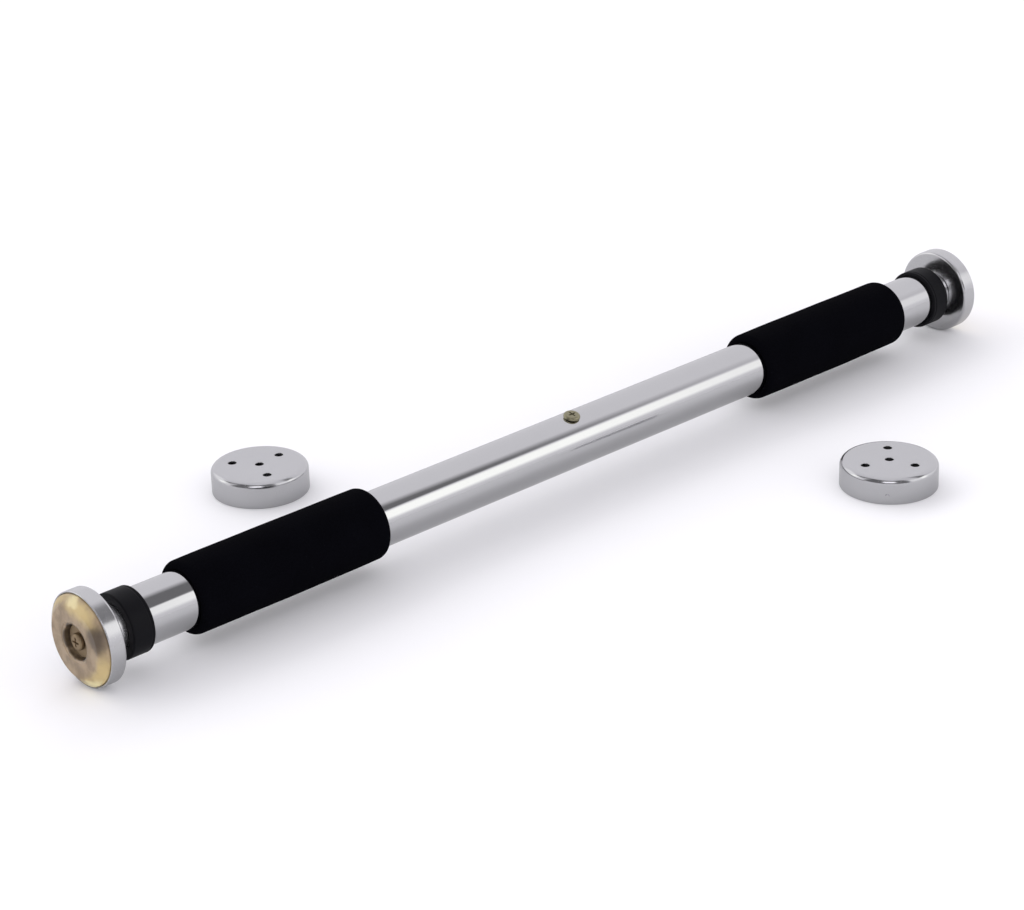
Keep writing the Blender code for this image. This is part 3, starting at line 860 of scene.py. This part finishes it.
class BAR_OT_cups(PieceOperator):
    """Makes the two wall cups, with their screw holes"""

    bl_idname = "pull_up_bar.cups"
    bl_label = "Wall cups"
    hole_turns = {"left": math.radians(-112.3), "right": math.radians(43.6)}
    side_hole_turn = math.radians(175.0)

    def make(self):
        for side in SIDES:
            low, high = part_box(f"{side}_cup")
            radius, height = (high.y - low.y) / 2, high.z
            x, y = (low.x + high.x) / 2, (low.y + high.y) / 2
            turn = self.hole_turns[side]
            across = (math.cos(turn), math.sin(turn), 0.0)
            axis = Axis((x, y, 0.0), (0, 0, 1), across)
            inner, ceiling = radius - self.sizes.cup_wall, height - self.sizes.cup_wall
            bands = np.arange(2.0, 10.0, 1.5) * MM
            corners = [
                (0.0, inner, 0.5 * MM), (ceiling, inner, 1.5 * MM), (ceiling, 0.0, 0.0), (height, 0.0, 0.0),
                (height, radius, self.sizes.cup_round),
                *((band, radius, 0.0) for band in bands[::-1]), (0.0, radius, 0.5 * MM),
            ]
            chrome = self.finish["cup_chrome"]
            circle = self.sizes.cup_hole_circle
            centres = [axis.centre]
            for angle in turn + np.radians([0.0, 120.0, 240.0]):
                centres.append(axis.centre + circle * np.array([math.cos(angle), math.sin(angle), 0.0]))
            tops = [Axis(centre + (0.0, 0.0, height), (0, 0, 1), across) for centre in centres]
            cutters = [hole_cutter(self.sizes.cup_hole, 3 * MM, 0.3 * MM, top, chrome) for top in tops]
            side_turn = turn + self.side_hole_turn
            out = np.array([math.cos(side_turn), math.sin(side_turn), 0.0])
            side_place = Axis(axis.centre + radius * out + (0.0, 0.0, 5 * MM), out, (0, 0, 1))
            cutters.append(hole_cutter(1.2 * MM, 3 * MM, 0.2 * MM, side_place, chrome, 32))
            names = (f"{side}_wall_cup", f"{side}_cup", f"{side}_cup", "cup_chrome")
            self.turned(*names, corners, axis, 12, self.sizes.round_facets + MORE_FACETS, cutters)


class BAR_OT_drive(PieceOperator):
    """Makes the threaded rod, its nuts and the fittings inside the tube"""

    bl_idname = "pull_up_bar.drive"
    bl_label = "Screw drive"

    def thread(self, along, turn):
        """Thread height from 0 to 1: a flattened sine of |along| / lead - turn / one turn."""
        phase = 2 * math.pi * np.abs(along) / self.sizes.thread_lead - turn
        return 0.5 + 0.5 * np.tanh(2.4 * np.sin(phase)) / math.tanh(2.4)

    def make_rod(self):
        _, end, radius = reach("threaded_rod")
        plain, run_out, step = 17 * MM, 5 * MM, 0.4 * MM
        half = np.arange(0.0, end - 0.2 * MM, step)
        along = np.concatenate([-half[:0:-1], half])
        turn = turns(56)
        fade = np.clip((np.abs(along) - plain) / run_out, 0.0, 1.0)
        fade = fade * np.clip((end - np.abs(along)) / (1.5 * MM), 0.25, 1.0)
        cut = (1 - self.thread(along[:, None], turn[None])) * fade[:, None]
        radii = radius - self.sizes.thread_depth * cut
        pocket = 14 * MM
        tail = np.array([end, end, end - pocket, end - pocket])
        tail_radius = np.array([radius - 0.9 * MM, SCREW_HOLE, SCREW_HOLE, 0.0])
        along = np.concatenate([-tail[::-1], along, tail])
        lead_in = np.repeat(tail_radius[::-1, None], turn.size, axis=1)
        radii = np.concatenate([lead_in, radii, lead_in[::-1]])
        points = bar_axis().points(along[:, None], radii, turn[None])
        zinc = self.finish["zinc_steel"]
        rod = piece_from("double_handed_rod", *sewn(points, closed_along=False), zinc)
        top = core_top(radius, self.sizes.tube_roll)
        carve(rod, [hole_cutter(SCREW_HOLE, 2 * radius + 2 * MM, 0.2 * MM, top, zinc)])
        place(rod, "threaded_rod", "bar", "zinc_steel")

    def make_nuts(self):
        _, _, rod_radius = reach("threaded_rod")
        clearance = 0.28 * MM
        for side in SIDES:
            start, end, radius = reach(f"{side}_drive_nut")
            axis = bar_axis(side)
            bore_along = np.linspace(start, end, 61)
            turn = turns(72)
            # The left side's axis is turned half way round, which the thread's start has to follow
            world_turn = turn if side == "right" else math.pi - turn
            bore = rod_radius + clearance
            bore = bore - self.sizes.thread_depth * (1 - self.thread(bore_along[:, None], world_turn[None]))
            mouth = np.clip(np.minimum(bore_along - start, end - bore_along) / (1.2 * MM), 0.0, 1.0)
            bore = rod_radius + clearance + (bore - rod_radius - clearance) * mouth[:, None]
            shell = outline(
                [(end, rod_radius + 1 * MM, 0.0), (end, radius, 0.5 * MM),
                 (start, radius, 0.5 * MM), (start, rod_radius + 1 * MM, 0.0)], 5
            )[2:-2]
            along = np.concatenate([bore_along, shell[:, 0]])
            radii = np.concatenate([bore, np.repeat(shell[:, 1:], turn.size, axis=1)])
            brass = self.finish["nut_brass"]
            points = axis.points(along[:, None], radii, turn[None])
            nut = piece_from(f"{side}_threaded_nut", *sewn(points), brass)
            hole_place = axis.centre + (start + end) / 2 * axis.along + (0.0, 0.0, radius)
            upright = Axis(hole_place, (0, 0, 1), (1, 0, 0))
            carve(nut, [hole_cutter(LOCK_HOLE, radius - 8.6 * MM, 0.15 * MM, upright, brass, 32)])
            place(nut, f"{side}_drive_nut", f"{side}_foot", "nut_brass")

            low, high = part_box(f"{side}_nut_screw")
            grub_axis = Axis((hole_place[0], hole_place[1], axis.centre[2]), (0, 0, 1), (1, 0, 0))
            bottom, top = low.z - axis.centre[2], high.z - axis.centre[2]
            corners = [
                (bottom, 0.0, 0.0), (top, 0.0, 0.0), (top, 1.5 * MM, 0.2 * MM), (bottom, 1.5 * MM, 0.5 * MM)
            ]
            zinc = self.finish["zinc_steel"]
            slit = cross_cutters(top, 2.0 * MM, 0.5 * MM, 0.8 * MM, grub_axis, zinc, blades=1)
            names = (f"{side}_grub_screw", f"{side}_nut_screw", f"{side}_foot", "zinc_steel")
            self.turned(*names, corners, grub_axis, 4, 48, slit)

    def make_block(self):
        _, end, radius = reach("centre_block")
        _, _, rod_radius = reach("threaded_rod")
        bore = rod_radius + GAP
        corners = [
            (-end, bore, 0.4 * MM), (end, bore, 0.4 * MM), (end, radius, 0.8 * MM), (-end, radius, 0.8 * MM)
        ]
        top = core_top(radius, self.sizes.tube_roll)
        hole = hole_cutter(SCREW_HOLE, 10 * MM, 0.2 * MM, top, self.finish["zinc_steel"])
        names = ("middle_block", "centre_block", "bar", "zinc_steel")
        self.turned(*names, corners, bar_axis(), facets=96, cutters=[hole])

    def make_stops(self):
        zinc = self.finish["zinc_steel"]
        for side in SIDES:
            axis = bar_axis(side)
            start, end, radius = reach(f"{side}_stop_washer")
            corners = [
                (start, SCREW_HOLE, 0.2 * MM), (end, SCREW_HOLE, 0.2 * MM),
                (end, radius, 0.5 * MM), (start, radius, 0.5 * MM),
            ]
            names = (f"{side}_rod_stop", f"{side}_stop_washer", "bar", "zinc_steel")
            self.turned(*names, corners, axis, facets=80)
            tip, top, head = reach(f"{side}_stop_screw")
            seat = end + GAP
            corners = [
                (tip, 0.0, 0.0), (top, 0.0, 0.0), (top, head, 1.1 * MM), (seat, head, 0.2 * MM),
                (seat, 2.0 * MM, 0.2 * MM), (tip, 2.0 * MM, 0.4 * MM),
            ]
            cross = cross_cutters(top, 3.6 * MM, 0.9 * MM, 1.2 * MM, axis, zinc)
            names = (f"{side}_rod_screw", f"{side}_stop_screw", "bar", "zinc_steel")
            self.turned(*names, corners, axis, 6, 72, cross)

    def make_rings(self):
        """Each guide ring is a bar of nylon bent round the sleeve, with a gap under it."""
        for side in SIDES:
            start, end, radius = reach(f"{side}_guide_ring")
            _, _, sleeve_radius = reach(f"{side}_sleeve")
            bore = sleeve_radius - GAP
            axis = bar_axis(side)
            corners = [
                (start, bore, 0.3 * MM), (end, bore, 0.3 * MM),
                (end, radius, 0.6 * MM), (start, radius, 0.6 * MM),
            ]
            section = outline(corners, 5)
            split = 1.0 * MM / radius
            turn = np.linspace(-math.pi / 2 + split, 3 * math.pi / 2 - split, 121)
            along = np.repeat(section[:, 0][None], turn.size, axis=0)
            radii = np.repeat(section[:, 1][None], turn.size, axis=0)
            points = axis.points(along, radii, turn[:, None])
            ends = np.repeat(points[[0, -1]].mean(axis=1, keepdims=True), points.shape[1], axis=1)
            points = np.concatenate([ends[:1], points, ends[1:]])
            nylon = self.finish["ring_nylon"]
            ring = piece_from(f"{side}_split_ring", *sewn(points, closed_along=False), nylon)
            place(ring, f"{side}_guide_ring", f"{side}_slider", "ring_nylon")

    def make(self):
        self.make_rod()
        self.make_nuts()
        self.make_block()
        self.make_stops()
        self.make_rings()


# Stage


class BAR_OT_stage(bpy.types.Operator):
    """Makes the floor, the studio light and the camera"""

    bl_idname = "pull_up_bar.stage"
    bl_label = "Stage"
    bl_options = {"REGISTER", "UNDO"}

    def floor(self, context):
        """A level square of 6 by 6 metres under the pieces. Reflections see it at 0.62 of its colour."""
        half, level = 3.0, CAD_BOX[0].z
        ends = ((-half, -half), (half, -half), (half, half), (-half, half))
        vertices = np.array([(x, y, level) for x, y in ends])
        material, nodes, shader, vector = blank_material("studio_floor", Roughness=0.9, Specular_IOR_Level=0.0)
        base = context.scene.pull_up_bar_colours.floor
        paper = nodes.mix(nodes.noise(vector, 5.0), rgba(base, 0.995), rgba(base))
        glossy = nodes.add("ShaderNodeLightPath").outputs["Is Glossy Ray"]
        paper = nodes.mix(glossy, paper, rgba(base, 0.62))
        nodes.tree.links.new(paper, shader.inputs["Base Color"])
        piece_from("studio_floor", vertices, [[0, 1, 2, 3]], material)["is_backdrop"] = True

    def world(self, settings):
        """White to the camera. Reflections see a long softbox, a dark gap over it, and a lamp in a dark
        doorway.

        The softbox and the gap are bands of the angle round X, kept to a span of the share that lies
        along X, and they stand twice, half a turn apart. The doorway is a span of azimuth and height.
        """
        world = bpy.data.worlds.new("studio")
        bpy.context.scene.world = world
        world.use_nodes = True
        world.node_tree.nodes.clear()
        nodes = Nodes(world.node_tree)
        direction = nodes.add("ShaderNodeTexCoord").outputs["Generated"]
        parts = nodes.add("ShaderNodeSeparateXYZ", {0: direction}).outputs
        degrees = 180 / math.pi

        def between(value, start, full, fade, end):
            """A soft window of value: 0 up to start, 1 from full to fade, 0 from end."""
            rise = nodes.stretch(value, start, full, 0.0, 1.0, True)
            return nodes.times(rise, nodes.stretch(value, fade, end, 1.0, 0.0, True))

        along = nodes.math("ABSOLUTE", parts["X"])
        across = nodes.times(parts["Y"], nodes.math("SIGN", parts["X"]))
        height = nodes.math("ARCTAN2", parts["Z"], nodes.times(across, -1.0))
        height = nodes.times(height, degrees)

        low = nodes.stretch(along, 0.50, 0.58, 41.0, 46.5)
        high = nodes.stretch(along, 0.50, 0.60, 83.0, 60.0)
        high = nodes.minus(high, nodes.stretch(along, 0.60, 0.65, 0.0, 5.0))
        over = nodes.math("DIVIDE", nodes.minus(height, high), 18.0)
        gap = nodes.stretch(nodes.minus(height, low), 0.0, 6.0, 0.0, 1.0, True)
        gap = nodes.times(gap, nodes.stretch(over, 0.0, 1.0, 1.0, 0.0))
        gap = nodes.times(gap, nodes.stretch(along, 0.595, 0.70, 0.76, 0.10, True))
        gap = nodes.times(gap, nodes.stretch(along, 0.36, 0.46, 0.12, 1.0, True))

        span = nodes.stretch(along, 0.46, 0.56, 0.35, 1.0, True)
        span = nodes.times(span, nodes.stretch(along, 0.62, 0.76, 1.0, 0.2, True))
        panel = nodes.times(between(height, 6.0, 22.0, 40.0, 50.0), span)
        level = nodes.times_plus(panel, settings.panel - settings.sky, settings.sky)
        level = nodes.times(level, nodes.minus(1.0, gap))

        azimuth = nodes.times(nodes.math("ARCTAN2", parts["Y"], parts["X"]), degrees)
        rise = nodes.times(nodes.math("ARCSINE", parts["Z"]), degrees)
        # Azimuths from +X, wrapped to -360..0 so that the doorway doesn't cross the join at 180 degrees
        turned = nodes.math("WRAP", azimuth, 0.0, -360.0)
        doorway = between(turned, -205.0, -190.0, -96.0, -84.0)
        doorway = nodes.times(doorway, between(rise, 2.0, 9.0, 58.0, 70.0))
        lamp = between(turned, -157.0, -150.0, -128.0, -120.0)
        lamp = nodes.times(lamp, between(rise, 18.0, 24.0, 42.0, 48.0))
        level = nodes.times(level, nodes.times_plus(doorway, -0.80, 1.0))
        level = nodes.times_plus(lamp, 1.3, level)

        # Matt surfaces get a dome in bands of the angle round X: bright low over +Y and -Y, dimmer overhead
        rays = nodes.add("ShaderNodeLightPath").outputs
        round_x = nodes.math("ARCTAN2", parts["Z"], parts["Y"])
        round_x = nodes.times(round_x, degrees)
        dome = nodes.times_plus(between(round_x, 12.0, 24.0, 42.0, 56.0), 1.35, 0.88)
        dome = nodes.times_plus(between(round_x, 60.0, 78.0, 102.0, 112.0), -0.30, dome)
        dome = nodes.times_plus(nodes.stretch(round_x, 138.0, 158.0, 0.0, 0.75, True), 1.0, dome)
        dome = nodes.times(dome, nodes.stretch(round_x, 3.0, 13.0, 0.3, 1.0, True))
        dome = nodes.times(dome, settings.dome)
        power = nodes.times_plus(rays["Is Glossy Ray"], nodes.minus(level, dome), dome)
        power = nodes.times_plus(rays["Is Camera Ray"], nodes.minus(1.05, power), power)
        tint = nodes.mix(panel, (1.0, 0.986, 1.035, 1.0), (1.01, 1.015, 0.985, 1.0))
        tint = nodes.mix(rays["Is Camera Ray"], tint, (1.0, 1.0, 1.0, 1.0))
        background = nodes.add("ShaderNodeBackground", {"Color": tint, "Strength": power})
        output = nodes.add("ShaderNodeOutputWorld")
        world.node_tree.links.new(background.outputs[0], output.inputs["Surface"])

    def light(self, name, power, width, place_at, aim):
        """A square area light that lights matt surfaces and stays out of the mirror-bright ones."""
        data = bpy.data.lights.new(name, "AREA")
        data.energy, data.size = power, width
        lamp = bpy.data.objects.new(name, data)
        bpy.context.scene.collection.objects.link(lamp)
        lamp.location = place_at
        lamp.rotation_euler = (Vector(aim) - Vector(place_at)).to_track_quat("-Z", "Y").to_euler()
        lamp.visible_glossy = False
        lamp.visible_camera = False

    def camera(self, settings):
        azimuth, elevation, roll = settings.azimuth, settings.elevation, settings.roll
        forward = Vector((
            -math.sin(azimuth) * math.cos(elevation),
            math.cos(azimuth) * math.cos(elevation),
            -math.sin(elevation),
        ))
        right = Vector((math.cos(azimuth), math.sin(azimuth), 0.0))
        up = right.cross(forward)
        tilted_right = right * math.cos(roll) + up * math.sin(roll)
        tilted_up = tilted_right.cross(forward)
        data = bpy.data.cameras.new("camera")
        data.lens = settings.lens
        camera = bpy.data.objects.new("camera", data)
        bpy.context.scene.collection.objects.link(camera)
        turn = Matrix((tilted_right, tilted_up, -forward)).transposed()
        place_at = Vector(settings.aim) - forward * settings.distance
        camera.matrix_world = Matrix.Translation(place_at) @ turn.to_4x4()
        bpy.context.scene.camera = camera

    def execute(self, context):
        settings = context.scene.pull_up_bar_stage
        context.scene.view_settings.view_transform = "Standard"
        self.floor(context)
        self.world(settings)
        self.light("key", settings.key_power, 1.2, (-0.55, 1.15, 1.75), (0.0, 0.0, 0.0))
        self.camera(settings)
        return {"FINISHED"}


class BAR_PT_panel(bpy.types.Panel):
    """Buttons for each kind of piece and for the stage"""

    bl_label = "Pull up bar"
    bl_space_type = "VIEW_3D"
    bl_region_type = "UI"
    bl_category = "Pull up bar"

    def draw(self, context):
        for operator in OPERATORS:
            self.layout.operator(operator.bl_idname)
        for settings in SETTINGS:
            block = getattr(context.scene, settings)
            for key in SETTINGS[settings].__annotations__:
                self.layout.prop(block, key)


SETTINGS = {
    "pull_up_bar_sizes": BarSizes,
    "pull_up_bar_colours": BarColours,
    "pull_up_bar_stage": BarStage,
}
OPERATORS = (
    BAR_OT_main_tube,
    BAR_OT_grips,
    BAR_OT_collars,
    BAR_OT_sleeves,
    BAR_OT_discs,
    BAR_OT_pads,
    BAR_OT_end_fasteners,
    BAR_OT_centre_screw,
    BAR_OT_cups,
    BAR_OT_drive,
    BAR_OT_stage,
)


def register():
    for part in (*SETTINGS.values(), *OPERATORS, BAR_PT_panel):
        bpy.utils.register_class(part)
    for name, part in SETTINGS.items():
        setattr(bpy.types.Scene, name, PointerProperty(type=part))


def unregister():
    for name in SETTINGS:
        delattr(bpy.types.Scene, name)
    for part in (BAR_PT_panel, *reversed(OPERATORS), *SETTINGS.values()):
        bpy.utils.unregister_class(part)


def main():
    register()
    for operator in OPERATORS:
        family, name = operator.bl_idname.split(".")
        getattr(getattr(bpy.ops, family), name)()
    boxes = {"cad": CAD_BOX, "visual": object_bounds()}
    {key: [list(corner) for corner in box] for key, box in boxes.items()}


if __name__ == "__main__":
    main()
